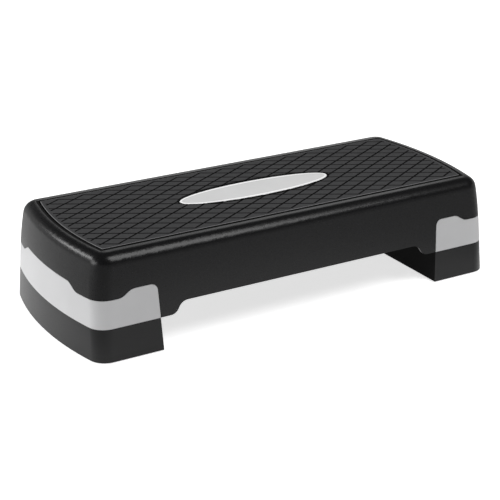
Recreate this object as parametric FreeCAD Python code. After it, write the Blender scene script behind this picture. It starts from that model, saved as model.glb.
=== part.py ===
import FreeCAD, Part

import math
import os

# Aerobic step platform with two heights: a moulded deck on two screwed-on legs, and two
# risers that plug into the legs from below. X runs along the step, Y across it, Z up from
# the floor, and the origin is on the floor under the middle. The left leg and riser are the
# right ones turned half round.

# Overall sizes, taken at the floor
LENGTH = 695.0
WIDTH = 295.0
HEIGHT = 150.0            # floor to tread with the risers on
SIDE_DRAFT = 5.1          # degrees that the long sides lean in, going up
END_DRAFT = 3.6           # degrees that the ends lean in, up to the seam
END_TURN = 6.5            # how far the ends curve in at tread height, beyond that lean
END_BOW = 20.5            # bulge of each end beyond its corners, in the plan
CORNER_RADIUS = 26.0
LEAST_CORNER = 3.0        # plan corner where a deep inset leaves none of the radius
LEG_LENGTH = 116.3        # end of the step to a leg's inner face
LEG_DRAFT = 2.4           # degrees that the legs' inner faces lean out, going up
SEAM_HEIGHT = 48.5        # floor to the seam between riser and leg

# Deck
SKIRT_WALL = 3.2
TOP_WALL = 3.5
RIM_RADIUS = 18.0
SKIRT_EDGE = 65.6         # floor to the skirt's lower edge between the legs
INNER_LOBE = 21.6         # length of the level edge of the lobe beside a leg
INNER_LOBE_SLOPE = 10.1   # run of the slope from that lobe up to the skirt's edge
ARCH_FILLET = 16.0
INNER_LOBE_FILLET = 14.0
WINDOW_TOP = 98.3         # floor to the top of the cut-outs that show the legs
LOBE_EDGE = 88.3          # floor to the lower edge of the corner lobes
WINDOW_WIDTH = 41.7       # level top of a front cut-out, from the leg's inner face
WINDOW_SLOPE = 15.5       # run of the slope from there down to the corner lobe
WINDOW_FILLET = 10.0
SLOPE_FILLET = 18.0
END_LOBE = 57.5           # width of a corner lobe in the end view, from the side of the step
END_SLOPE = 18.0          # run of the slope from that lobe up to the end cut-out's top
DECK_RIB = 2.2            # rib thickness under the deck
DECK_RIB_DEPTH = 25.0
LONG_RIBS = 5
CROSS_RIB_PITCH = 75.0

# Tread mat and oval plate
TREAD_FROM_SIDE = 24.5    # line of the deck's side at tread height to the recess for the mat
TREAD_FROM_END = 18.3     # the same at the ends
TREAD_CORNER = 3.0
TREAD_GAP = 2.2           # border groove between recess and mat
TREAD_THICKNESS = 3.0
TREAD_PROUD = 0.5         # mat above the rim
TREAD_EDGE = 0.9          # rounding of the mat's upper edge
TREAD_MARGIN = 5.5        # plain border of the mat outside the grooves
GROOVE_PITCH = 19.5       # square to the grooves
GROOVE_ANGLE = 30.0       # degrees from the step's length, both ways
GROOVE_WIDTH = 3.0
GROOVE_DEPTH = 2.0
OVAL_LENGTH = 252.0
OVAL_WIDTH = 63.0
OVAL_GAP = 0.7
OVAL_EDGE = 0.8           # rounding of the plate's upper edge

# Legs
LEG_WALL = 3.0
LEG_PLATE = 3.0           # top of the leg, under the deck's bosses
LEG_HEADROOM = 16.5       # leg's top to the underside of the deck
JOIN_GAP = 0.5            # deck's lower edge to the leg, all along
FIT_GAP = 0.4             # sliding fit between walls that nest
LEG_RIB = 2.4
LEG_SIDE_RIB = 88.0       # middle of the leg to the ribs that carry its feet

# Risers
RISER_WALL = 3.0
RISER_PLATE = 3.0
RISER_RIB = 2.4
RISER_RIB_PITCH = 58.0
COLLAR_HEIGHT = 12.0      # riser's collar that stands up inside the leg
COLLAR_WALL = 2.6
COLLAR_CLEAR = 2.0        # collar's top to the leg's ribs

# Rubber feet
FOOT_DIAMETER = 20.0
FOOT_THICKNESS = 4.0
FOOT_PROUD = 1.5          # foot below the rim of its riser or leg
FOOT_EDGE = 0.6
FOOT_POST_WALL = 2.0      # post radius beyond the foot
STEM_DIAMETER = 6.0
STEM_LENGTH = 8.0
STEM_GAP = 0.2
FOOT_FROM_FACE = 21.0     # riser's inner face to its inner feet
FOOT_FROM_END = 42.0      # tip of the riser's end to its outer feet
FOOT_FROM_SIDE = 29.0
FOOT_HOLE_GAP = 2.0       # leg foot to the hole for it in the riser's plate

# Screws that hold the legs up into the deck
SCREW_DIAMETER = 4.0
SCREW_LENGTH = 14.0
SCREW_HEAD = 8.0
SCREW_HEAD_HEIGHT = 2.8
SCREW_GAP = 0.2
SCREW_FROM_FACE = 24.0    # leg's inner face to its inner screws
SCREW_FROM_END = 44.0     # tip of the end to the outer screws
BOSS_WALL = 3.0

V = FreeCAD.Vector
SIDE_LEAN = math.tan(math.radians(SIDE_DRAFT))
END_LEAN = math.tan(math.radians(END_DRAFT))
LEG_LEAN = math.tan(math.radians(LEG_DRAFT))
INNER_FACE = LENGTH / 2 - LEG_LENGTH
END_RADIUS = ((WIDTH / 2) ** 2 + END_BOW ** 2) / (2 * END_BOW)
RIM_TOP = HEIGHT - TREAD_PROUD
RECESS_FLOOR = HEIGHT - TREAD_THICKNESS
UNDERSIDE = RECESS_FLOOR - TOP_WALL
LEG_TOP = UNDERSIDE - LEG_HEADROOM
RIB_EDGE = UNDERSIDE - DECK_RIB_DEPTH
LONG_RIB_PITCH = WIDTH / (LONG_RIBS + 1)
TONGUE_INSET = SKIRT_WALL + FIT_GAP
COLLAR_INSET = LEG_WALL + FIT_GAP
LEG_RIB_EDGE = SEAM_HEIGHT + COLLAR_HEIGHT + COLLAR_CLEAR
MID_LEG = (INNER_FACE + LENGTH / 2) / 2
END_START = LENGTH / 2 - END_BOW - CORNER_RADIUS
OVERRUN = 5.0             # how far cutting tools reach past what they cut


def rounded(corners):
    """Closed wire through (point, radius) corners, with an arc at each corner that has a radius."""
    edges = []
    starts = []
    ends = []
    count = len(corners)
    for index, (point, radius) in enumerate(corners):
        back = (corners[index - 1][0] - point).normalize()
        ahead = (corners[(index + 1) % count][0] - point).normalize()
        half = back.getAngle(ahead) / 2
        reach = radius / math.tan(half)
        starts.append(point + back * reach)
        ends.append(point + ahead * reach)
        if radius > 0:
            middle = point + (back + ahead).normalize() * (radius / math.sin(half) - radius)
            edges.append(Part.Arc(starts[-1], middle, ends[-1]).toShape())
    for index in range(count):
        edges.append(Part.LineSegment(ends[index], starts[(index + 1) % count]).toShape())
    return Part.Wire(Part.__sortEdges__(edges))


def plan(side, tip, end_radius, corner, height):
    """Closed wire at a height: straight sides, bowed ends and round corners."""
    centre = tip - end_radius
    corner_y = side - corner
    corner_x = centre + math.sqrt((end_radius - corner) ** 2 - corner_y ** 2)
    end_turn = math.atan2(corner_y, corner_x - centre)
    mid_turn = (end_turn + math.pi / 2) / 2
    end_x = centre + end_radius * math.cos(end_turn)
    end_y = end_radius * math.sin(end_turn)
    mid_x = corner_x + corner * math.cos(mid_turn)
    mid_y = corner_y + corner * math.sin(mid_turn)
    edges = []
    for turn in (1, -1):
        near_end = V(turn * end_x, -turn * end_y, height)
        far_end = V(turn * end_x, turn * end_y, height)
        corner_middle = V(turn * mid_x, turn * mid_y, height)
        side_start = V(turn * corner_x, turn * side, height)
        side_end = V(-turn * corner_x, turn * side, height)
        next_middle = V(-turn * mid_x, turn * mid_y, height)
        next_end = V(-turn * end_x, turn * end_y, height)
        edges.append(Part.Arc(near_end, V(turn * tip, 0, height), far_end).toShape())
        edges.append(Part.Arc(far_end, corner_middle, side_start).toShape())
        edges.append(Part.LineSegment(side_start, side_end).toShape())
        edges.append(Part.Arc(side_end, next_middle, next_end).toShape())
    return Part.Wire(edges)


def side_at(height):
    """Middle of the step to its long side at a height."""
    return WIDTH / 2 - height * SIDE_LEAN


def tip_at(height):
    """Middle of the step to the tip of its end at a height."""
    share = max(height - SEAM_HEIGHT, 0) / (HEIGHT - SEAM_HEIGHT)
    return LENGTH / 2 - height * END_LEAN - END_TURN * share ** 3


def corner_at(inset):
    """Plan radius of the outer corners, set in."""
    return max(CORNER_RADIUS - inset, LEAST_CORNER)


def outline(inset, height):
    """Plan of the step at a height, set in."""
    return plan(side_at(height) - inset, tip_at(height) - inset, END_RADIUS - inset, corner_at(inset), height)


def drafted(inset, bottom, top):
    """Block between two heights whose walls follow the outer face at an inset."""
    if top <= SEAM_HEIGHT:
        return Part.makeLoft([outline(inset, bottom), outline(inset, top)], True, True)
    steps = [bottom + (top - bottom) * index / 3 for index in range(4)]
    return Part.makeLoft([outline(inset, height) for height in steps], True, False)


def mat_corner(inset):
    """Plan radius of the corners of the recess for the mat, set in."""
    return max(TREAD_CORNER - inset, 1.0)


def slab(inset, bottom, top):
    """Upright slab with the plan of the recess for the mat, set in."""
    side = side_at(HEIGHT) - TREAD_FROM_SIDE - inset
    tip = tip_at(HEIGHT) - TREAD_FROM_END - inset
    end_radius = END_RADIUS - (LENGTH / 2 - tip)
    return Part.Face(plan(side, tip, end_radius, mat_corner(inset), bottom)).extrude(V(0, 0, top - bottom))


def oval(grow, bottom, top):
    """Upright oval slab in the middle of the tread."""
    ellipse = Part.Ellipse(V(0, 0, bottom), OVAL_LENGTH / 2 + grow, OVAL_WIDTH / 2 + grow)
    return Part.Face(Part.Wire(ellipse.toShape())).extrude(V(0, 0, top - bottom))


def round_top(block, radius, corner):
    """Rounds the upper edge of a drafted block, by no more than its plan corner allows."""
    top = block.BoundBox.ZMax
    edges = [edge for edge in block.Edges if edge.BoundBox.ZMin > top - 0.01]
    return block.makeFillet(min(radius, 0.95 * corner), edges)


def across(corners):
    """Solid over the whole width with the (x, z, radius) corners of its side view."""
    wire = rounded([(V(x, -WIDTH, z), radius) for x, z, radius in corners])
    return Part.Face(wire).extrude(V(0, 2 * WIDTH, 0))


def along(corners, start):
    """Solid running out past the right end from start, with the (y, z, radius) corners of its end view."""
    wire = rounded([(V(start, y, z), radius) for y, z, radius in corners])
    return Part.Face(wire).extrude(V(LENGTH, 0, 0))


def upright(x, y, bottom, top, diameter):
    """Cylinder standing at a place in the plan."""
    return Part.makeCylinder(diameter / 2, top - bottom, V(x, y, bottom))


def rib_along(y, start, end, bottom, top, thickness):
    """Rib that runs along X."""
    return Part.makeBox(end - start, thickness, top - bottom, V(start, y - thickness / 2, bottom))


def rib_across(x, bottom, top, thickness):
    """Rib that runs over the whole width."""
    return Part.makeBox(thickness, WIDTH, top - bottom, V(x - thickness / 2, -WIDTH / 2, bottom))


def turned(shape):
    """The same shape at the other end of the step."""
    return shape.rotated(V(0, 0, 0), V(0, 0, 1), 180)


def outboard(inset):
    """Everything to the right of the leg's inner face, which leans out going up."""
    foot = INNER_FACE + inset - LEG_LEAN * OVERRUN
    head = INNER_FACE + inset + LEG_LEAN * HEIGHT
    return across([(foot, -OVERRUN, 0), (LENGTH, -OVERRUN, 0), (LENGTH, HEIGHT, 0), (head, HEIGHT, 0)])


def leg_window(grow):
    """Space of the right leg below the deck's lower edge, in the side and end views, grown outwards."""
    top = WINDOW_TOP + grow
    lobe = LOBE_EDGE + grow
    shoulder = INNER_FACE + WINDOW_WIDTH
    side_view = across([
        (INNER_FACE - grow, 0, 0),
        (LENGTH, 0, 0),
        (LENGTH, lobe, 0),
        (shoulder + WINDOW_SLOPE, lobe, SLOPE_FILLET),
        (shoulder, top, SLOPE_FILLET + grow),
        (INNER_FACE + LEG_LEAN * top - grow, top, WINDOW_FILLET + grow),
    ])
    foot = WIDTH / 2 - END_LOBE
    head = foot - END_SLOPE
    end_view = along([
        (-WIDTH, 0, 0),
        (WIDTH, 0, 0),
        (WIDTH, lobe, 0),
        (foot, lobe, SLOPE_FILLET),
        (head, top, SLOPE_FILLET + grow),
        (-head, top, SLOPE_FILLET + grow),
        (-foot, lobe, SLOPE_FILLET),
        (-WIDTH, lobe, 0),
    ], END_START)
    return side_view.fuse(end_view)


def arch():
    """Space under the skirt between the two inner lobes."""
    lobe_end = INNER_FACE - INNER_LOBE
    crown = lobe_end - INNER_LOBE_SLOPE
    right = [
        (INNER_FACE - INNER_LOBE / 2, 0, 0),
        (INNER_FACE - INNER_LOBE / 2, SEAM_HEIGHT, 0),
        (lobe_end, SEAM_HEIGHT, INNER_LOBE_FILLET),
        (crown, SKIRT_EDGE, ARCH_FILLET),
    ]
    left = [(-x, z, radius) for x, z, radius in reversed(right)]
    return across(right + left)


def screw_places():
    """Plan of the right leg's screws, on the deck's ribs next to the middle one."""
    for x in (INNER_FACE + SCREW_FROM_FACE, LENGTH / 2 - SCREW_FROM_END):
        for y in (-LONG_RIB_PITCH, LONG_RIB_PITCH):
            yield x, y


def riser_foot_places():
    """Name and plan of the right riser's feet."""
    y = WIDTH / 2 - FOOT_FROM_SIDE
    for row, x in (("inner", INNER_FACE + FOOT_FROM_FACE), ("outer", LENGTH / 2 - FOOT_FROM_END)):
        yield "front_" + row, x, -y
        yield "back_" + row, x, y


def leg_foot_places():
    """Name and plan of the right leg's feet, where its ribs cross."""
    yield "front", MID_LEG, -LEG_SIDE_RIB
    yield "back", MID_LEG, LEG_SIDE_RIB


def deck_ribs():
    """Ribs and screw bosses under the deck, which stop at the legs' tops where they pass over them."""
    solids = []
    for index in range(LONG_RIBS):
        y = (index + 1) * LONG_RIB_PITCH - WIDTH / 2
        solids.append(rib_along(y, -INNER_FACE, INNER_FACE, RIB_EDGE, HEIGHT, DECK_RIB))
        solids.append(rib_along(y, -LENGTH / 2, LENGTH / 2, LEG_TOP, HEIGHT, DECK_RIB))
    count = int((INNER_FACE - DECK_RIB) / CROSS_RIB_PITCH)
    for index in range(-count, count + 1):
        solids.append(rib_across(index * CROSS_RIB_PITCH, RIB_EDGE, HEIGHT, DECK_RIB))
    boss = SCREW_DIAMETER + 2 * SCREW_GAP + 2 * BOSS_WALL
    for x, y in screw_places():
        post = upright(x, y, LEG_TOP, HEIGHT, boss)
        beam = rib_across(x, LEG_TOP, HEIGHT, DECK_RIB)
        solids += [post, turned(post), beam, turned(beam)]
    return solids


def make_deck():
    """Shell with a rounded rim, ribbed below, cut out over the legs and recessed for the mat."""
    outer = round_top(drafted(0, SEAM_HEIGHT, RIM_TOP), RIM_RADIUS, corner_at(0))
    hollow = drafted(SKIRT_WALL, SEAM_HEIGHT - OVERRUN, UNDERSIDE)
    hollow = round_top(hollow, RIM_RADIUS - SKIRT_WALL, corner_at(SKIRT_WALL))
    shell = outer.cut(hollow.cut(deck_ribs()))
    window = leg_window(JOIN_GAP)
    tools = [arch(), window, turned(window), slab(0, RECESS_FLOOR, HEIGHT)]
    for x, y in screw_places():
        pilot = upright(x, y, LEG_TOP - OVERRUN, UNDERSIDE, SCREW_DIAMETER + 2 * SCREW_GAP)
        tools += [pilot, turned(pilot)]
    return shell.cut(tools)


def groove(direction, distance):
    """V groove in the mat, along a line at a distance from the middle of the step."""
    half = GROOVE_WIDTH / 2
    reach = LENGTH / 2
    section = Part.makePolygon([
        V(-reach, -half, HEIGHT),
        V(-reach, 0, HEIGHT - GROOVE_DEPTH),
        V(-reach, half, HEIGHT),
        V(-reach, -half, HEIGHT),
    ])
    bar = Part.Face(section).extrude(V(2 * reach, 0, 0))
    bar.translate(V(0, distance, 0))
    bar.rotate(V(0, 0, 0), V(0, 0, 1), direction * GROOVE_ANGLE)
    return bar


def make_tread_mat():
    """Mat with two families of grooves that stop short of its border, and a hole for the oval plate."""
    mat = slab(TREAD_GAP, RECESS_FLOOR, HEIGHT)
    mat = round_top(mat, TREAD_EDGE, mat_corner(TREAD_GAP))
    field = slab(TREAD_GAP + TREAD_MARGIN, RECESS_FLOOR, HEIGHT + OVERRUN)
    field = field.cut(oval(OVAL_GAP, RECESS_FLOOR - OVERRUN, HEIGHT + 2 * OVERRUN))
    turn = math.radians(GROOVE_ANGLE)
    span = LENGTH / 2 * math.sin(turn) + WIDTH / 2 * math.cos(turn)
    count = int(span / GROOVE_PITCH)
    grooves = []
    for direction in (-1, 1):
        for index in range(-count, count):
            grooves.append(groove(direction, (index + 0.5) * GROOVE_PITCH))
    cuts = [bar.common(field) for bar in grooves]
    cuts = [cut for cut in cuts if cut.Solids]
    mat = mat.cut(oval(OVAL_GAP, RECESS_FLOOR - OVERRUN, HEIGHT + OVERRUN))
    return mat.cut(cuts)


def make_oval_plate():
    """Blank plate that lies in the mat's hole, with its upper edge rounded."""
    plate = oval(0, RECESS_FLOOR, HEIGHT)
    edges = [edge for edge in plate.Edges if edge.BoundBox.ZMin > HEIGHT - 0.01]
    return plate.makeFillet(OVAL_EDGE, edges)


def make_leg():
    """Right leg: flush below the deck's edge, stepping in behind the skirt, open below, ribbed inside."""
    seen = drafted(0, SEAM_HEIGHT, HEIGHT).common(leg_window(0))
    tongue = drafted(TONGUE_INSET, SEAM_HEIGHT, LEG_TOP).common(outboard(0))
    low_hollow = drafted(LEG_WALL, SEAM_HEIGHT - OVERRUN, HEIGHT).common(leg_window(-LEG_WALL))
    high_hollow = drafted(TONGUE_INSET + LEG_WALL, SEAM_HEIGHT - OVERRUN, LEG_TOP - LEG_PLATE)
    hollow = low_hollow.fuse(high_hollow.common(outboard(LEG_WALL)))
    post = FOOT_DIAMETER + 2 * FOOT_POST_WALL
    seat = SEAM_HEIGHT - FOOT_PROUD + FOOT_THICKNESS
    ribs = [rib_across(MID_LEG, LEG_RIB_EDGE, LEG_TOP, LEG_RIB)]
    for y in (-LEG_SIDE_RIB, 0, LEG_SIDE_RIB):
        ribs.append(rib_along(y, INNER_FACE, LENGTH / 2, LEG_RIB_EDGE, LEG_TOP, LEG_RIB))
    holes = []
    for place, x, y in leg_foot_places():
        ribs.append(upright(x, y, seat, LEG_TOP, post))
        holes.append(upright(x, y, seat - OVERRUN, seat + STEM_LENGTH + 1, STEM_DIAMETER + 2 * STEM_GAP))
    for x, y in screw_places():
        holes.append(upright(x, y, LEG_TOP - LEG_PLATE - OVERRUN, LEG_TOP, SCREW_DIAMETER + 2 * SCREW_GAP))
    return seen.fuse(tongue).cut(hollow.cut(ribs)).cut(holes)


def make_riser():
    """Right riser: hollow block with a plate on top and a collar that plugs into the leg."""
    block = drafted(0, FOOT_PROUD, SEAM_HEIGHT).common(outboard(0))
    hollow = drafted(RISER_WALL, FOOT_PROUD - OVERRUN, SEAM_HEIGHT - RISER_PLATE).common(outboard(RISER_WALL))
    post = FOOT_DIAMETER + 2 * FOOT_POST_WALL
    rib_bottom = FOOT_PROUD + FOOT_THICKNESS
    ribs = [rib_across(MID_LEG, rib_bottom, SEAM_HEIGHT, RISER_RIB)]
    for step in (-2, -1, 0, 1, 2):
        y = step * RISER_RIB_PITCH
        ribs.append(rib_along(y, INNER_FACE, LENGTH / 2, rib_bottom, SEAM_HEIGHT, RISER_RIB))
    holes = []
    for place, x, y in riser_foot_places():
        ribs.append(upright(x, y, FOOT_THICKNESS, SEAM_HEIGHT, post))
        holes.append(upright(x, y, 0, FOOT_THICKNESS + STEM_LENGTH + 1, STEM_DIAMETER + 2 * STEM_GAP))
    for place, x, y in leg_foot_places():
        hole = FOOT_DIAMETER + 2 * FOOT_HOLE_GAP
        holes.append(upright(x, y, SEAM_HEIGHT - RISER_PLATE, SEAM_HEIGHT + OVERRUN, hole))
    collar_top = SEAM_HEIGHT + COLLAR_HEIGHT
    collar = drafted(COLLAR_INSET, SEAM_HEIGHT - RISER_PLATE, collar_top).common(outboard(COLLAR_INSET))
    inside = COLLAR_INSET + COLLAR_WALL
    collar = collar.cut(drafted(inside, SEAM_HEIGHT, collar_top + OVERRUN).common(outboard(inside)))
    return block.cut(hollow.cut(ribs)).fuse(collar).cut(holes)


def make_foot(x, y, bottom):
    """Rubber foot: a disc that stands proud of its rim, with a stem that plugs into a post."""
    disc = upright(x, y, bottom, bottom + FOOT_THICKNESS, FOOT_DIAMETER)
    edges = [edge for edge in disc.Edges if edge.BoundBox.ZMax < bottom + 0.01]
    disc = disc.makeFillet(FOOT_EDGE, edges)
    top = bottom + FOOT_THICKNESS
    return disc.fuse(upright(x, y, top, top + STEM_LENGTH, STEM_DIAMETER))


def make_screw(x, y):
    """Pan-head screw driven upwards: a domed head under the leg's plate and a pointed shank."""
    seat = LEG_TOP - LEG_PLATE
    bottom = seat - SCREW_HEAD_HEIGHT
    radius = SCREW_DIAMETER / 2
    head = SCREW_HEAD / 2
    tip = seat + SCREW_LENGTH
    brim = seat - SCREW_HEAD_HEIGHT / 2
    shoulder = (bottom + brim) / 2 - 0.2 * SCREW_HEAD_HEIGHT
    dome = Part.Arc(V(0, 0, bottom), V(0.7 * head, 0, shoulder), V(head, 0, brim))
    shank = Part.makePolygon([
        V(head, 0, brim),
        V(head, 0, seat),
        V(radius, 0, seat),
        V(radius, 0, tip - radius),
        V(0, 0, tip),
        V(0, 0, bottom),
    ])
    profile = Part.Wire([dome.toShape()] + shank.Edges)
    screw = Part.Face(profile).revolve(V(0, 0, 0), V(0, 0, 1), 360)
    screw.translate(V(x, y, 0))
    return screw


def single(shape):
    """The one solid of a piece, with faces that continue each other joined."""
    solids = shape.removeSplitter().Solids
    if len(solids) != 1:
        raise ValueError("piece is in %d solids" % len(solids))
    return solids[0]


def save(name, shape):
    """Writes one node."""
    if not shape.isValid():
        raise ValueError(name + " is not a valid shape")
    shape.exportStep(os.path.join("parts", name + ".step"))


def save_pair(name, shape):
    """Writes the right-hand node and the same one turned to the left end."""
    save("right_" + name, shape)
    save("left_" + name, turned(shape))


def opposite(place):
    """Name of a place after the piece is turned half round."""
    if place.startswith("front"):
        return place.replace("front", "back")
    return place.replace("back", "front")


os.makedirs("parts", exist_ok=True)
save("deck", single(make_deck()))
save("tread_mat", single(make_tread_mat()))
save("oval_plate", single(make_oval_plate()))
save_pair("leg", single(make_leg()))
save_pair("riser", single(make_riser()))
save_pair("leg_screws", Part.makeCompound([make_screw(x, y) for x, y in screw_places()]))
for place, x, y in riser_foot_places():
    foot = single(make_foot(x, y, 0))
    save("right_riser_foot_" + place, foot)
    save("left_riser_foot_" + opposite(place), turned(foot))
for place, x, y in leg_foot_places():
    foot = single(make_foot(x, y, SEAM_HEIGHT - FOOT_PROUD))
    save("right_leg_foot_" + place, foot)
    save("left_leg_foot_" + opposite(place), turned(foot))
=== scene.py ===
"""Aerobic step platform: the finishes, floor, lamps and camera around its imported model."""

import math

import bpy
import numpy as np
from bpy.props import FloatProperty, FloatVectorProperty, PointerProperty
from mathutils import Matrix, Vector


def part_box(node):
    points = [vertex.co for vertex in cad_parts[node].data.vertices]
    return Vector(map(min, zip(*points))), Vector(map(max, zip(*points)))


bl_info = {
    "name": "Aerobic step platform",
    "version": (1, 0, 0),
    "blender": (4, 5, 0),
    "location": "3D View > Sidebar > Step",
    "description": "Finishes and studio for a two-height aerobic step around its packed model",
    "category": "Object",
}

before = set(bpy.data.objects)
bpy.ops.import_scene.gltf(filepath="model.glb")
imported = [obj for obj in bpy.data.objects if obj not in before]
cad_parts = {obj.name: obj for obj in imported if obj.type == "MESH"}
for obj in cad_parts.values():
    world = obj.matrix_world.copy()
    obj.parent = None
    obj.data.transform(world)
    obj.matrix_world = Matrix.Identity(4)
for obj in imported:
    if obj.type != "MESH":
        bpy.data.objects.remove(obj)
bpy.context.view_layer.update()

MM = 0.001
ENDS = ("left", "right")
RISER_FEET = ("front_inner", "front_outer", "back_inner", "back_outer")
LEG_FEET = ("front", "back")
LAMPS = ("key", "front", "side", "back")

# How far three nodes reach from the middle of the step, along it, across it and up
TREAD_END, TREAD_SIDE, TREAD_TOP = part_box("tread_mat")[1]
OVAL_END, OVAL_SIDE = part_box("oval_plate")[1][:2]
RISER_LOW, RISER_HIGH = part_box("right_riser")

# Nearly all of a noise texture's values lie between these
NOISE_LOW = 0.3
NOISE_HIGH = 0.7

PLASTIC_IOR = 1.49
RUBBER_IOR = 1.52
BLACK = (0, 0, 0, 1)
WHITE = (1, 1, 1, 1)


def linear(code):
    """Linear colour of an sRGB hex value: each channel goes through the sRGB curve."""
    channels = [int(code[place : place + 2], 16) / 255 for place in (1, 3, 5)]
    return tuple(c / 12.92 if c <= 0.04045 else ((c + 0.055) / 1.055) ** 2.4 for c in channels)


def shaded(colour, share):
    """Colour made lighter or darker by a share, as the four channels of a colour socket."""
    return tuple(channel * (1 + share) for channel in colour) + (1,)


def add(tree, kind, settings=None, links=None):
    """Adds a node: settings are its own properties or the values of its sockets, links are its inputs."""
    node = tree.nodes.new(kind)
    for key, value in (settings or {}).items():
        if isinstance(key, str) and hasattr(node, key):
            setattr(node, key, value)
        else:
            node.inputs[key].default_value = value
    for key, source in (links or {}).items():
        tree.links.new(source, node.inputs[key])
    return node


def colour_property(name, description, code):
    """Colour whose default is an sRGB hex value."""
    return FloatVectorProperty(
        name=name, description=description, subtype="COLOR", size=3, min=0, max=1, default=linear(code)
    )


def length_property(name, description, millimetres):
    """Length whose default is given in millimetres."""
    return FloatProperty(
        name=name, description=description, unit="LENGTH", min=0, precision=5, default=millimetres * MM
    )


def share_property(name, description, share):
    """Number from 0 to 1."""
    return FloatProperty(name=name, description=description, subtype="FACTOR", min=0, max=1, default=share)


def place_property(name, description, metres):
    """Point in metres."""
    return FloatVectorProperty(
        name=name, description=description, subtype="XYZ", unit="LENGTH", default=metres
    )


def size_property(name, description, metres):
    """Width and height in metres."""
    return FloatVectorProperty(name=name, description=description, size=2, unit="LENGTH", default=metres)


def power_property(name, description, watts):
    """Power of a lamp."""
    return FloatProperty(name=name, description=description, subtype="POWER", min=0, default=watts)


class StepFinishes(bpy.types.PropertyGroup):
    """Colours and surface textures of the step's materials, with their painted highlights and shade."""

    deck_colour: colour_property("Deck", "Black of the moulded deck", "#101011")
    riser_colour: colour_property("Risers", "Black of the moulded risers", "#101011")
    leg_colour: colour_property("Legs", "Grey of the moulded legs", "#c9c9ca")
    oval_colour: colour_property("Oval plate", "Light grey of the oval plate", "#d9d9d9")
    # The oval rim's colour is a painted highlight on the plate's rounded edge
    rim_highlight_colour: colour_property("Oval rim", "Pale rim of the oval plate", "#ffffff")
    tread_colour: colour_property("Tread", "Dark grey of the rubber tread", "#404041")
    # The tread lip's paler colour is a painted highlight on its rounded edge
    lip_highlight_colour: colour_property("Tread lip", "Paler worn edge round the tread", "#7c7c7d")
    foot_colour: colour_property("Feet", "Black of the rubber feet", "#1e1e1e")
    screw_colour: colour_property("Screws", "Zinc plating of the screws", "#c4c6c4")
    deck_roughness: share_property("Deck roughness", "Satin of the deck", 0.28)
    riser_roughness: share_property("Riser roughness", "Satin of the risers", 0.36)
    leg_roughness: share_property("Leg roughness", "Satin of the grey mouldings", 0.42)
    tread_roughness: share_property("Tread roughness", "Matt surface of the tread", 0.78)
    foot_roughness: share_property("Foot roughness", "Matt surface of the feet", 0.85)
    deck_specular: share_property("Deck specular", "Specular level of the deck", 0.24)
    riser_specular: share_property("Riser specular", "Specular level of the risers", 0.24)
    leg_specular: share_property("Leg specular", "Specular level of the legs", 0.35)
    oval_specular: share_property("Oval specular", "Specular level of the oval plate", 0.15)
    rubber_specular: share_property("Rubber specular", "Specular level of the rubber", 0.12)
    flow_size: length_property("Flow marks", "Width of the faint tone changes in the plastic", 70)
    flow_swing: share_property("Flow contrast", "How much the flow marks change its tone", 0.07)
    grain_size: length_property("Mould grain", "Width of the eroded grain on the mouldings", 1.1)
    grain_depth: length_property("Mould grain depth", "Depth of that grain", 0.02)
    grain_strength: share_property("Mould grain strength", "How much of that depth is drawn", 0.6)
    grain_smooth: share_property("Grain smooth", "Fall of the roughness on one side of the grain", 0.03)
    grain_rough: share_property("Grain rough", "Rise of the roughness on its other side", 0.05)
    stipple_size: length_property("Tread stipple", "Width of the stipple on the tread", 1.6)
    stipple_depth: length_property("Tread stipple depth", "Depth of that stipple", 0.12)
    foot_stipple_size: length_property("Foot stipple", "Width of the stipple on the feet", 0.8)
    foot_stipple_depth: length_property("Foot stipple depth", "Depth of that stipple", 0.03)
    stipple_strength: share_property("Stipple strength", "How much of those depths is drawn", 0.7)
    stipple_light: share_property("Stipple light", "How much lighter the rubber is on its stipple", 0.12)
    stipple_dark: share_property("Stipple dark", "How much darker it is between", 0.16)
    patch_size: length_property("Rubber patches", "Width of the duller patches on the rubber", 12)
    patch_swing: share_property("Patch contrast", "How much the patches change its roughness", 0.06)
    # The tone left in the tread's grooves is painted shade
    groove_shade: share_property("Groove tone", "Share of its tone that is left in its grooves", 0.04)
    cloud_size: length_property("Zinc clouds", "Width of the clouds in the zinc plating", 1.5)
    cloud_dark: share_property("Zinc contrast", "How much darker the clouds are", 0.1)
    zinc_smooth: share_property("Zinc smooth", "Least roughness of the plating", 0.22)
    zinc_rough: share_property("Zinc rough", "Greatest roughness of the plating", 0.4)


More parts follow.
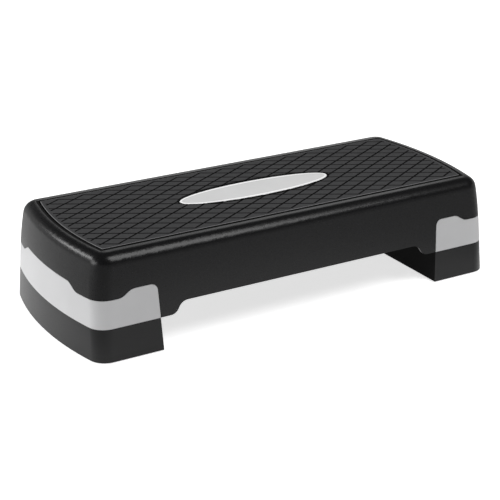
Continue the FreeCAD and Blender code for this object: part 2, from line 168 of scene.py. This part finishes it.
class StepMarks(bpy.types.PropertyGroup):
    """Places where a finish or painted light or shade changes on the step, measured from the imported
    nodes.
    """

    end_centre: length_property("End's point", "Middle of the step to where an end is struck from", 193.4)
    # Depths over which painted shade darkens the tread's grooves
    groove_light: length_property("Groove light", "Depth where the tread's grooves start to darken", 0.01)
    groove_dark: length_property("Groove dark", "Depth where they are darkest", 0.1)
    # Where the painted highlight on the tread's lip goes
    lip_width: length_property("Lip width", "Width of the pale rounding of the tread's edge", 1.2)
    lip_depth: length_property("Lip depth", "Depth where that rounding meets the border groove", 0.28)
    # Band round the tread's recess where the deck is painted black as shade
    arris_side: length_property("Side arris", "Tread's side to the outside of its recess's arris", 5.0)
    arris_end: length_property("End arris", "The same at the tread's end", 5.2)
    arris_depth: length_property("Arris depth", "Depth of its lower edge under the tread's top", 1.0)
    # Band round the oval plate's edge that takes the painted highlight
    rim_along: length_property("Rim at the end", "Width of the oval plate's rim at its ends", 3.5)
    rim_across: length_property("Rim at the side", "Width of that rim at its sides", 5.5)
    # Ring on the tread round the oval plate that is painted black as shadow
    ring_along: length_property("Ring at the end", "Width of the dark ring round the plate's ends", 4.0)
    ring_across: length_property("Ring at the side", "Width of that ring at its sides", 7.5)
    # Depths on the oval plate's wall where painted shade blackens it
    seat_depth: length_property("Oval seat", "Depth where the plate's wall starts to darken", 0.5)
    seat_fade: length_property("Oval seat fade", "How much deeper it is black", 0.3)
    # Where the risers' inner faces are painted black as shade
    inner_depth: length_property("Inner face", "Foot of a riser's inner face to just behind its top", 3.34)
    skin_depth: length_property("Side skin", "How far under a riser's long side its satin reaches", 0.5)
    side_lean: share_property("Side lean", "How far the long sides lean in for their height", 0.0892)


class StepView(bpy.types.PropertyGroup):
    """Camera that stands where the photograph was taken."""

    azimuth: FloatProperty(
        name="Azimuth",
        description="Turn of the camera round the step",
        subtype="ANGLE",
        default=math.radians(-30.447),
    )
    elevation: FloatProperty(
        name="Elevation",
        description="Camera above the horizon",
        subtype="ANGLE",
        default=math.radians(22.051),
    )
    distance: FloatProperty(
        name="Distance", description="Camera to the point it looks at", unit="LENGTH", default=2.10368
    )
    target: place_property("Target", "Point that the camera looks at", (-0.008844, 0.0, 0.051556))
    lens: FloatProperty(name="Lens", description="Focal length in millimetres", default=100.015)
    sensor: FloatProperty(name="Sensor", description="Width of the film in millimetres", default=36.0)


class StepStudio(bpy.types.PropertyGroup):
    """Floor and lamps."""

    floor_colour: colour_property("Floor", "Pale floor", "#f2f2f2")
    floor_gap: length_property("Floor gap", "Floor under the feet", 0.05)
    sweep_reach: length_property("Sweep reach", "Middle of the floor to the wall round it", 14000)
    sweep_bend: length_property("Sweep bend", "Radius of the bend between floor and wall", 1500)
    sweep_height: length_property("Sweep height", "Height of the wall", 3500)
    near_white: share_property("White near", "White of the floor round the step, besides its light", 0.72)
    far_white: share_property("White far", "White of the floor beyond the reach of the lamps", 1.0)
    far_start: length_property("Far start", "Middle of the floor to where the far white starts", 500)
    far_end: length_property("Far end", "Middle of the floor to where the far white is full", 2500)
    pool_white: share_property("Mirrored near", "White near in a reflection, besides the light", 0.85)
    pool_inside: length_property("Pool inside", "Middle of the floor to where it starts to fade", 400)
    pool_outside: length_property("Pool outside", "Middle of the floor to where it has faded", 520)
    mirror_white: share_property("Mirrored far", "White far out in a reflection", 0.5)
    mirror_start: length_property("Mirrored start", "Middle of the floor to where that white starts", 1500)
    mirror_end: length_property("Mirrored end", "Middle of the floor to where it is full", 4000)
    room_level: share_property("Room", "Level of the plain room light", 0.08)
    aim: place_property("Aim", "Point that the lamps face", (0.0, 0.0, 0.1))
    key_power: power_property("Key", "Softbox behind the left end", 17.5)
    key_place: place_property("Key place", "Middle of that softbox", (-1.6, 1.35, 1.1))
    key_size: size_property("Key size", "Width and height of that softbox", (1.1, 0.4))
    front_power: power_property("Front", "Softbox above the front on the right", 30.0)
    front_place: place_property("Front place", "Middle of that softbox", (0.6, -1.0, 1.85))
    front_size: size_property("Front size", "Width and height of that softbox", (0.9, 1.3))
    side_power: power_property("Side", "Softbox on the left", 22.5)
    side_place: place_property("Side place", "Middle of that softbox", (-2.25, 0.2, 0.8))
    side_size: size_property("Side size", "Width and height of that softbox", (1.2, 0.8))
    back_power: power_property("Back", "Dim panel behind on the right", 3.5)
    back_place: place_property("Back place", "Middle of that panel", (1.1, 1.9, 0.95))
    back_size: size_property("Back size", "Width and height of that panel", (1.4, 0.8))


def new_material(name):
    """Material with an empty node tree, that tree, and the coordinates of the piece itself."""
    material = bpy.data.materials.new(name)
    material.use_nodes = True
    tree = material.node_tree
    tree.nodes.clear()
    return material, tree, add(tree, "ShaderNodeTexCoord").outputs["Object"]


def past_tread(tree, place, marks, at_side, at_end):
    """1 outside the tread's outline moved outwards by a length at its sides and its ends, 0 inside it.

    The sides are straight. Each end is an arc struck from a point on the far side of the middle."""
    quarter = add(tree, "ShaderNodeVectorMath", {"operation": "ABSOLUTE"}, {0: place}).outputs[0]
    across = add(tree, "ShaderNodeSeparateXYZ", None, {"Vector": quarter}).outputs["Y"]
    shift = {"operation": "ADD", 1: (marks.end_centre, 0, 0)}
    struck = add(tree, "ShaderNodeVectorMath", shift, {0: quarter}).outputs[0]
    level = {"operation": "MULTIPLY", 1: (1, 1, 0)}
    flat = add(tree, "ShaderNodeVectorMath", level, {0: struck}).outputs[0]
    spoke = add(tree, "ShaderNodeVectorMath", {"operation": "LENGTH"}, {0: flat}).outputs["Value"]
    beyond_side = {"operation": "GREATER_THAN", 1: TREAD_SIDE + at_side}
    side = add(tree, "ShaderNodeMath", beyond_side, {0: across}).outputs[0]
    beyond_end = {"operation": "GREATER_THAN", 1: marks.end_centre + TREAD_END + at_end}
    end = add(tree, "ShaderNodeMath", beyond_end, {0: spoke}).outputs[0]
    return add(tree, "ShaderNodeMath", {"operation": "MAXIMUM"}, {0: side, 1: end}).outputs[0]


def past_oval(tree, place, at_end, at_side):
    """1 outside the oval plate's outline moved outwards by a length at its ends and its sides, 0 inside it.

    Lengths are divided by those of the oval, so that its outline is a circle of radius 1."""
    share = {"operation": "MULTIPLY", 1: (1 / (OVAL_END + at_end), 1 / (OVAL_SIDE + at_side), 0)}
    scaled = add(tree, "ShaderNodeVectorMath", share, {0: place}).outputs[0]
    reach = add(tree, "ShaderNodeVectorMath", {"operation": "LENGTH"}, {0: scaled}).outputs["Value"]
    return add(tree, "ShaderNodeMath", {"operation": "GREATER_THAN", 1: 1.0}, {0: reach}).outputs[0]


def deck_painted_arris_shade(tree, place, marks):
    """0 on the narrow arris of the recess for the tread, painted black as shade, 1 on the rest of the deck.
    """
    outer = past_tread(tree, place, marks, marks.arris_side, marks.arris_end)
    height = add(tree, "ShaderNodeSeparateXYZ", None, {"Vector": place}).outputs["Z"]
    below = {"operation": "LESS_THAN", 1: TREAD_TOP - marks.arris_depth}
    under = add(tree, "ShaderNodeMath", below, {0: height}).outputs[0]
    return add(tree, "ShaderNodeMath", {"operation": "MAXIMUM"}, {0: outer, 1: under}).outputs[0]


def tread_lip_highlight(tree, place, marks):
    """1 on the upper part of the rounded edge round the tread, where a painted highlight goes, 0 elsewhere.
    """
    edge = past_tread(tree, place, marks, -marks.lip_width, -marks.lip_width)
    height = add(tree, "ShaderNodeSeparateXYZ", None, {"Vector": place}).outputs["Z"]
    above = {"operation": "GREATER_THAN", 1: TREAD_TOP - marks.lip_depth}
    upper = add(tree, "ShaderNodeMath", above, {0: height}).outputs[0]
    return add(tree, "ShaderNodeMath", {"operation": "MULTIPLY"}, {0: edge, 1: upper}).outputs[0]


def tread_painted_shade(tree, place, marks, groove_shade):
    """Share of the tread's tone: 1 on its top, little in its grooves as painted shade,
    0 on the ring round the oval as a painted shadow.
    """
    height = add(tree, "ShaderNodeSeparateXYZ", None, {"Vector": place}).outputs["Z"]
    groove = add(
        tree,
        "ShaderNodeMapRange",
        {
            "From Min": TREAD_TOP - marks.groove_dark,
            "From Max": TREAD_TOP - marks.groove_light,
            "To Min": groove_shade,
        },
        {"Value": height},
    ).outputs["Result"]
    # Painted shadow: the tread is black on the ring round the oval plate
    clear = past_oval(tree, place, marks.ring_along, marks.ring_across)
    return add(tree, "ShaderNodeMath", {"operation": "MULTIPLY"}, {0: clear, 1: groove}).outputs[0]


def oval_painted_seat_shade(tree, place, marks):
    """1 on the face of the oval plate, falling to 0 down its wall in the gap round it as painted shade."""
    seat = TREAD_TOP - marks.seat_depth
    height = add(tree, "ShaderNodeSeparateXYZ", None, {"Vector": place}).outputs["Z"]
    fade = {"From Min": seat - marks.seat_fade, "From Max": seat}
    return add(tree, "ShaderNodeMapRange", fade, {"Value": height}).outputs["Result"]


def oval_rim_highlight(tree, place, marks):
    """1 on the rim of the oval plate, where a painted highlight makes it pale, 0 on its middle."""
    return past_oval(tree, place, -marks.rim_along, -marks.rim_across)


def riser_painted_inner_shade(tree, place, marks):
    """0 on the risers' inner faces, which are painted black as shade and are as coarse as the mould's core,
    1 on their sides and ends.
    """
    quarter = add(tree, "ShaderNodeVectorMath", {"operation": "ABSOLUTE"}, {0: place}).outputs[0]
    lengths = add(tree, "ShaderNodeSeparateXYZ", None, {"Vector": quarter}).outputs
    upright = {"operation": "MULTIPLY_ADD", 1: marks.side_lean}
    reach = add(tree, "ShaderNodeMath", upright, {0: lengths["Z"], 2: lengths["Y"]}).outputs[0]
    half_width = RISER_HIGH[1] + marks.side_lean * RISER_LOW[2]
    outside = {"operation": "GREATER_THAN", 1: half_width - marks.skin_depth}
    side = add(tree, "ShaderNodeMath", outside, {0: reach}).outputs[0]
    behind = {"operation": "GREATER_THAN", 1: RISER_LOW[0] + marks.inner_depth}
    end = add(tree, "ShaderNodeMath", behind, {0: lengths["X"]}).outputs[0]
    return add(tree, "ShaderNodeMath", {"operation": "MAXIMUM"}, {0: side, 1: end}).outputs[0]


def moulded_plastic(name, colour, roughness, specular, face=None, rim=None):
    """Injection-moulded plastic from a spark-eroded mould.

    It gives the eye a soft satin sheen, a grain that breaks up highlights, and faint cloudy tone changes
    where the melt flowed. The real grain is about 0.3 mm and is drawn coarser so that it shows. Where the
    function face gives 0, the plastic is painted black as shade and is coarse. Where rim gives 1, it has
    the rim's colour, a painted highlight."""
    finishes = bpy.context.scene.step_finishes
    marks = bpy.context.scene.step_marks
    material, tree, place = new_material(name)
    flow_scale = {"Scale": 1 / finishes.flow_size, "Detail": 3.0}
    flow = add(tree, "ShaderNodeTexNoise", flow_scale, {"Vector": place}).outputs["Fac"]
    grain_scale = {"Scale": 1 / finishes.grain_size, "Detail": 2.0}
    grain = add(tree, "ShaderNodeTexNoise", grain_scale, {"Vector": place}).outputs["Fac"]
    dark = shaded(colour, -finishes.flow_swing)
    light = shaded(colour, finishes.flow_swing)
    tone = add(tree, "ShaderNodeMix", {"data_type": "RGBA", 6: dark, 7: light}, {0: flow}).outputs[2]
    sheen = add(
        tree,
        "ShaderNodeMapRange",
        {
            "From Min": NOISE_LOW,
            "From Max": NOISE_HIGH,
            "To Min": roughness - finishes.grain_smooth,
            "To Max": roughness + finishes.grain_rough,
        },
        {"Value": grain},
    ).outputs["Result"]
    # Painted highlight: pale colour on the rim of the oval plate
    if rim:
        pale = {"data_type": "RGBA", 7: shaded(finishes.rim_highlight_colour, 0)}
        tone = add(tree, "ShaderNodeMix", pale, {0: rim(tree, place, marks), 6: tone}).outputs[2]
    # Painted shade: where face gives 0, the plastic is black and fully rough
    if face:
        share = face(tree, place, marks)
        tone = add(tree, "ShaderNodeMix", {"data_type": "RGBA", 6: BLACK}, {0: share, 7: tone}).outputs[2]
        sheen = add(tree, "ShaderNodeMix", {"data_type": "FLOAT", 2: 1.0}, {0: share, 3: sheen}).outputs[0]
    relief = {"Strength": finishes.grain_strength, "Distance": finishes.grain_depth}
    bump = add(tree, "ShaderNodeBump", relief, {"Height": grain}).outputs["Normal"]
    surface = add(
        tree,
        "ShaderNodeBsdfPrincipled",
        {"IOR": PLASTIC_IOR, "Specular IOR Level": specular},
        {"Base Color": tone, "Roughness": sheen, "Normal": bump},
    )
    add(tree, "ShaderNodeOutputMaterial", None, {"Surface": surface.outputs["BSDF"]})
    return material


def moulded_rubber(name, colour, roughness, stipple_size, stipple_depth, grooved=False):
    """Thermoplastic rubber moulded with a stipple for grip.

    It gives the eye a dry matt surface with a fine speckle. Where it is grooved, it is painted darker
    towards the bottom of its grooves as shade, and painted paler on its lip as a highlight."""
    finishes = bpy.context.scene.step_finishes
    marks = bpy.context.scene.step_marks
    material, tree, place = new_material(name)
    dots = {"feature": "F1", "Scale": 1 / stipple_size}
    stipple = add(tree, "ShaderNodeTexVoronoi", dots, {"Vector": place}).outputs["Distance"]
    patch_scale = {"Scale": 1 / finishes.patch_size, "Detail": 6.0}
    patch = add(tree, "ShaderNodeTexNoise", patch_scale, {"Vector": place}).outputs["Fac"]
    high = shaded(colour, finishes.stipple_light)
    low = shaded(colour, -finishes.stipple_dark)
    tone = add(tree, "ShaderNodeMix", {"data_type": "RGBA", 6: high, 7: low}, {0: stipple}).outputs[2]
    # Painted shade in the grooves and painted shadow round the oval plate
    if grooved:
        shade = {"data_type": "RGBA", "blend_type": "MULTIPLY", 0: 1.0}
        light = tread_painted_shade(tree, place, marks, finishes.groove_shade)
        tone = add(tree, "ShaderNodeMix", shade, {6: tone, 7: light}).outputs[2]
        # Painted highlight: paler colour on the tread's lip
        highlighted = {"data_type": "RGBA", 7: shaded(finishes.lip_highlight_colour, 0)}
        tone = add(tree, "ShaderNodeMix", highlighted, {0: tread_lip_highlight(tree, place, marks), 6: tone}).outputs[2]
    relief = {"Strength": finishes.stipple_strength, "Distance": stipple_depth, "invert": True}
    bump = add(tree, "ShaderNodeBump", relief, {"Height": stipple}).outputs["Normal"]
    matt = add(
        tree,
        "ShaderNodeMapRange",
        {
            "From Min": NOISE_LOW,
            "From Max": NOISE_HIGH,
            "To Min": roughness - finishes.patch_swing,
            "To Max": roughness + finishes.patch_swing,
        },
        {"Value": patch},
    ).outputs["Result"]
    surface = add(
        tree,
        "ShaderNodeBsdfPrincipled",
        {"IOR": RUBBER_IOR, "Specular IOR Level": finishes.rubber_specular},
        {"Base Color": tone, "Roughness": matt, "Normal": bump},
    )
    add(tree, "ShaderNodeOutputMaterial", None, {"Surface": surface.outputs["BSDF"]})
    return material


def zinc_plate(name, colour):
    """Zinc-plated steel, which gives the eye a bright, slightly clouded metal."""
    finishes = bpy.context.scene.step_finishes
    material, tree, place = new_material(name)
    cloud_scale = {"Scale": 1 / finishes.cloud_size, "Detail": 4.0}
    cloud = add(tree, "ShaderNodeTexNoise", cloud_scale, {"Vector": place}).outputs["Fac"]
    polish = add(
        tree,
        "ShaderNodeMapRange",
        {
            "From Min": NOISE_LOW,
            "From Max": NOISE_HIGH,
            "To Min": finishes.zinc_smooth,
            "To Max": finishes.zinc_rough,
        },
        {"Value": cloud},
    ).outputs["Result"]
    dull = shaded(colour, -finishes.cloud_dark)
    tone = add(
        tree, "ShaderNodeMix", {"data_type": "RGBA", 6: dull, 7: shaded(colour, 0)}, {0: cloud}
    ).outputs[2]
    surface = add(
        tree, "ShaderNodeBsdfPrincipled", {"Metallic": 1.0}, {"Base Color": tone, "Roughness": polish}
    )
    add(tree, "ShaderNodeOutputMaterial", None, {"Surface": surface.outputs["BSDF"]})
    return material


def soft_edges():
    """Modifier tree that joins a node's loose triangles and shades every slight bend as a curve."""
    name = "soft edges"
    merge_length = 0.01 * MM
    sharpest_curve = math.radians(35)
    if name in bpy.data.node_groups:
        return bpy.data.node_groups[name]
    tree = bpy.data.node_groups.new(name, "GeometryNodeTree")
    tree.interface.new_socket("Geometry", in_out="INPUT", socket_type="NodeSocketGeometry")
    tree.interface.new_socket("Geometry", in_out="OUTPUT", socket_type="NodeSocketGeometry")
    loose = add(tree, "NodeGroupInput").outputs[0]
    joined = add(
        tree, "GeometryNodeMergeByDistance", {"Distance": merge_length}, {"Geometry": loose}
    ).outputs[0]
    angle = add(tree, "GeometryNodeInputMeshEdgeAngle").outputs["Unsigned Angle"]
    slight = {"data_type": "FLOAT", "operation": "LESS_THAN", "B": sharpest_curve}
    bend = add(tree, "FunctionNodeCompare", slight, {"A": angle}).outputs["Result"]
    faces = add(tree, "GeometryNodeSetShadeSmooth", {"domain": "FACE"}, {"Geometry": joined}).outputs[0]
    edges = add(
        tree, "GeometryNodeSetShadeSmooth", {"domain": "EDGE"}, {"Geometry": faces, "Shade Smooth": bend}
    )
    add(tree, "NodeGroupOutput", None, {0: edges.outputs[0]})
    return tree


def dress(names, material):
    """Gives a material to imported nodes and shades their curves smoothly. Their meshes are left alone."""
    for name in names:
        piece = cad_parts[name]
        piece.data.materials.clear()
        piece.data.materials.append(material)
        piece.modifiers.new("soft edges", "NODES").node_group = soft_edges()
        weights = piece.modifiers.new("flat faces", "WEIGHTED_NORMAL")
        weights.mode = "FACE_AREA"
        weights.keep_sharp = True


class STEP_OT_deck(bpy.types.Operator):
    """Finishes the black deck"""

    bl_idname = "step.deck"
    bl_label = "Deck"

    def execute(self, context):
        finishes = context.scene.step_finishes
        material = moulded_plastic(
            "satin black polypropylene",
            finishes.deck_colour,
            finishes.deck_roughness,
            finishes.deck_specular,
            face=deck_painted_arris_shade,
        )
        dress(["deck"], material)
        return {"FINISHED"}


class STEP_OT_tread(bpy.types.Operator):
    """Finishes the grooved rubber tread"""

    bl_idname = "step.tread"
    bl_label = "Tread mat"

    def execute(self, context):
        finishes = context.scene.step_finishes
        material = moulded_rubber(
            "stippled grey rubber",
            finishes.tread_colour,
            finishes.tread_roughness,
            finishes.stipple_size,
            finishes.stipple_depth,
            grooved=True,
        )
        dress(["tread_mat"], material)
        return {"FINISHED"}


class STEP_OT_oval(bpy.types.Operator):
    """Finishes the blank oval plate"""

    bl_idname = "step.oval"
    bl_label = "Oval plate"

    def execute(self, context):
        finishes = context.scene.step_finishes
        material = moulded_plastic(
            "light grey ABS",
            finishes.oval_colour,
            finishes.leg_roughness,
            finishes.oval_specular,
            face=oval_painted_seat_shade,
            rim=oval_rim_highlight,
        )
        dress(["oval_plate"], material)
        return {"FINISHED"}


class STEP_OT_legs(bpy.types.Operator):
    """Finishes the two grey legs"""

    bl_idname = "step.legs"
    bl_label = "Legs"

    def execute(self, context):
        finishes = context.scene.step_finishes
        material = moulded_plastic(
            "satin grey polypropylene", finishes.leg_colour, finishes.leg_roughness, finishes.leg_specular
        )
        dress([end + "_leg" for end in ENDS], material)
        return {"FINISHED"}


class STEP_OT_risers(bpy.types.Operator):
    """Finishes the two black risers"""

    bl_idname = "step.risers"
    bl_label = "Risers"

    def execute(self, context):
        finishes = context.scene.step_finishes
        material = moulded_plastic(
            "dull satin black polypropylene",
            finishes.riser_colour,
            finishes.riser_roughness,
            finishes.riser_specular,
            face=riser_painted_inner_shade,
        )
        dress([end + "_riser" for end in ENDS], material)
        return {"FINISHED"}


class STEP_OT_feet(bpy.types.Operator):
    """Finishes the rubber feet of the risers and the legs"""

    bl_idname = "step.feet"
    bl_label = "Rubber feet"

    def execute(self, context):
        finishes = context.scene.step_finishes
        material = moulded_rubber(
            "matt black rubber",
            finishes.foot_colour,
            finishes.foot_roughness,
            finishes.foot_stipple_size,
            finishes.foot_stipple_depth,
        )
        names = ["%s_riser_foot_%s" % (end, place) for end in ENDS for place in RISER_FEET]
        names += ["%s_leg_foot_%s" % (end, place) for end in ENDS for place in LEG_FEET]
        dress(names, material)
        return {"FINISHED"}


class STEP_OT_screws(bpy.types.Operator):
    """Finishes the screws that hold the legs"""

    bl_idname = "step.screws"
    bl_label = "Screws"

    def execute(self, context):
        finishes = context.scene.step_finishes
        dress([end + "_leg_screws" for end in ENDS], zinc_plate("zinc-plated steel", finishes.screw_colour))
        return {"FINISHED"}


def pale_floor(studio):
    """Matt pale floor that looks white where it is seen, directly or in a reflection, and keeps the shadow.

    Seen directly, its white grows outwards as the lamps' light falls off. In a reflection, a pool of white
    round the step fades outwards, and a dimmer white comes in further out."""
    material, tree, place = new_material("pale floor")
    matt = add(tree, "ShaderNodeBsdfDiffuse", {"Color": shaded(studio.floor_colour, 0)}).outputs[0]
    path = add(tree, "ShaderNodeLightPath").outputs
    away = add(tree, "ShaderNodeVectorMath", {"operation": "LENGTH"}, {0: place}).outputs["Value"]
    direct = add(
        tree,
        "ShaderNodeMapRange",
        {
            "From Min": studio.far_start,
            "From Max": studio.far_end,
            "To Min": studio.near_white,
            "To Max": studio.far_white,
        },
        {"Value": away},
    ).outputs["Result"]
    pool = add(
        tree,
        "ShaderNodeMapRange",
        {
            "From Min": studio.pool_inside,
            "From Max": studio.pool_outside,
            "To Min": studio.pool_white,
            "To Max": 0.0,
        },
        {"Value": away},
    ).outputs["Result"]
    mirrored = add(
        tree,
        "ShaderNodeMapRange",
        {"From Min": studio.mirror_start, "From Max": studio.mirror_end, "To Max": studio.mirror_white},
        {"Value": away, "To Min": pool},
    ).outputs["Result"]
    seen = path["Is Camera Ray"]
    white = add(
        tree, "ShaderNodeMix", {"data_type": "FLOAT"}, {0: seen, 2: mirrored, 3: direct}
    ).outputs[0]
    glow = add(tree, "ShaderNodeEmission", None, {"Strength": white}).outputs[0]
    bright = add(tree, "ShaderNodeAddShader", None, {0: matt, 1: glow}).outputs[0]
    for ray in ("Is Glossy Ray", "Is Transmission Ray"):
        seen = add(tree, "ShaderNodeMath", {"operation": "MAXIMUM"}, {0: seen, 1: path[ray]}).outputs[0]
    surface = add(tree, "ShaderNodeMixShader", None, {0: seen, 1: matt, 2: bright})
    add(tree, "ShaderNodeOutputMaterial", None, {"Surface": surface.outputs[0]})
    return material


def studio_sweep(studio):
    """Round floor that curves up into a low wall, a profile of radius and height turned about the Z axis.

    The profile runs level to the foot of the wall, then along a quarter circle, then straight up. The first
    point of all the profiles is joined by one face in the middle."""
    hub = 10 * MM
    bend_points = 9
    turns = 96
    bend = np.linspace(0, math.pi / 2, bend_points)
    flat = studio.sweep_reach - studio.sweep_bend
    radius = np.concatenate(([hub], flat + studio.sweep_bend * np.sin(bend), [studio.sweep_reach]))
    height = np.concatenate(([0], studio.sweep_bend * (1 - np.cos(bend)), [studio.sweep_height]))
    turn = np.linspace(0, 2 * math.pi, turns, endpoint=False)[:, None]
    level = np.broadcast_to(height - studio.floor_gap, (turns, radius.size))
    points = np.stack((np.cos(turn) * radius, np.sin(turn) * radius, level), axis=2)
    index = np.arange(turns * radius.size).reshape(turns, radius.size)
    after = np.roll(index, -1, axis=0)
    sides = (index[:, :-1], index[:, 1:], after[:, 1:], after[:, :-1])
    faces = np.stack(sides, axis=2).reshape(-1, 4).tolist()
    mesh = bpy.data.meshes.new("floor")
    mesh.from_pydata(points.reshape(-1, 3).tolist(), [], faces + [after[:, 0].tolist()])
    mesh.materials.append(pale_floor(studio))
    mesh.shade_smooth()
    return bpy.data.objects.new("floor", mesh)


def softbox(name, place, aim, size, power):
    """Area lamp at a place, turned to face a point."""
    data = bpy.data.lights.new(name, "AREA")
    data.shape = "RECTANGLE"
    data.size, data.size_y = size
    data.energy = power
    lamp = bpy.data.objects.new(name, data)
    lamp.location = place
    lamp.rotation_mode = "QUATERNION"
    lamp.rotation_quaternion = (Vector(aim) - Vector(place)).to_track_quat("-Z", "Y")
    lamp.visible_camera = False
    return lamp


def plain_room(studio):
    """World of one dim white."""
    world = bpy.data.worlds.new("room")
    world.use_nodes = True
    tree = world.node_tree
    tree.nodes.clear()
    room = add(tree, "ShaderNodeBackground", {"Color": WHITE, "Strength": studio.room_level})
    add(tree, "ShaderNodeOutputWorld", None, {"Surface": room.outputs[0]})
    return world


def photo_camera(view):
    """Camera at a distance from its target, along the direction that the azimuth and elevation give."""
    flat = math.cos(view.elevation)
    back = Vector((math.sin(view.azimuth) * flat, -math.cos(view.azimuth) * flat, math.sin(view.elevation)))
    data = bpy.data.cameras.new("camera")
    data.lens = view.lens
    data.sensor_width = view.sensor
    camera = bpy.data.objects.new("camera", data)
    camera.location = Vector(view.target) + back * view.distance
    camera.rotation_mode = "QUATERNION"
    camera.rotation_quaternion = (-back).to_track_quat("-Z", "Y")
    return camera


class STEP_OT_stage(bpy.types.Operator):
    """Makes the floor, the lamps and the camera"""

    bl_idname = "step.stage"
    bl_label = "Studio"

    def execute(self, context):
        scene = context.scene
        studio = scene.step_studio
        floor = studio_sweep(studio)
        scene.collection.objects.link(floor)
        for name in LAMPS:
            place = getattr(studio, name + "_place")
            size = getattr(studio, name + "_size")
            power = getattr(studio, name + "_power")
            scene.collection.objects.link(softbox(name, place, studio.aim, size, power))
        scene.world = plain_room(studio)
        scene.view_settings.view_transform = "Standard"
        camera = photo_camera(scene.step_view)
        scene.collection.objects.link(camera)
        scene.camera = camera
        return {"FINISHED"}


GROUPS = {
    StepFinishes: "step_finishes",
    StepMarks: "step_marks",
    StepView: "step_view",
    StepStudio: "step_studio",
}
OPERATORS = (
    STEP_OT_deck,
    STEP_OT_tread,
    STEP_OT_oval,
    STEP_OT_legs,
    STEP_OT_risers,
    STEP_OT_feet,
    STEP_OT_screws,
    STEP_OT_stage,
)


class STEP_PT_panel(bpy.types.Panel):
    """Lists the step's pieces and settings"""

    bl_idname = "STEP_PT_panel"
    bl_label = "Aerobic step"
    bl_space_type = "VIEW_3D"
    bl_region_type = "UI"
    bl_category = "Step"

    def draw(self, context):
        for operator in OPERATORS:
            self.layout.operator(operator.bl_idname)
        for group, pointer in GROUPS.items():
            for name in group.__annotations__:
                self.layout.prop(getattr(context.scene, pointer), name)


def register():
    for made in (*GROUPS, *OPERATORS, STEP_PT_panel):
        bpy.utils.register_class(made)
    for group, pointer in GROUPS.items():
        setattr(bpy.types.Scene, pointer, PointerProperty(type=group))


def unregister():
    for pointer in GROUPS.values():
        delattr(bpy.types.Scene, pointer)
    for made in (STEP_PT_panel, *reversed(OPERATORS), *reversed(GROUPS)):
        bpy.utils.unregister_class(made)


def main():
    register()
    bpy.ops.step.deck()
    bpy.ops.step.tread()
    bpy.ops.step.oval()
    bpy.ops.step.legs()
    bpy.ops.step.risers()
    bpy.ops.step.feet()
    bpy.ops.step.screws()
    bpy.ops.step.stage()


if __name__ == "__main__":
    main()
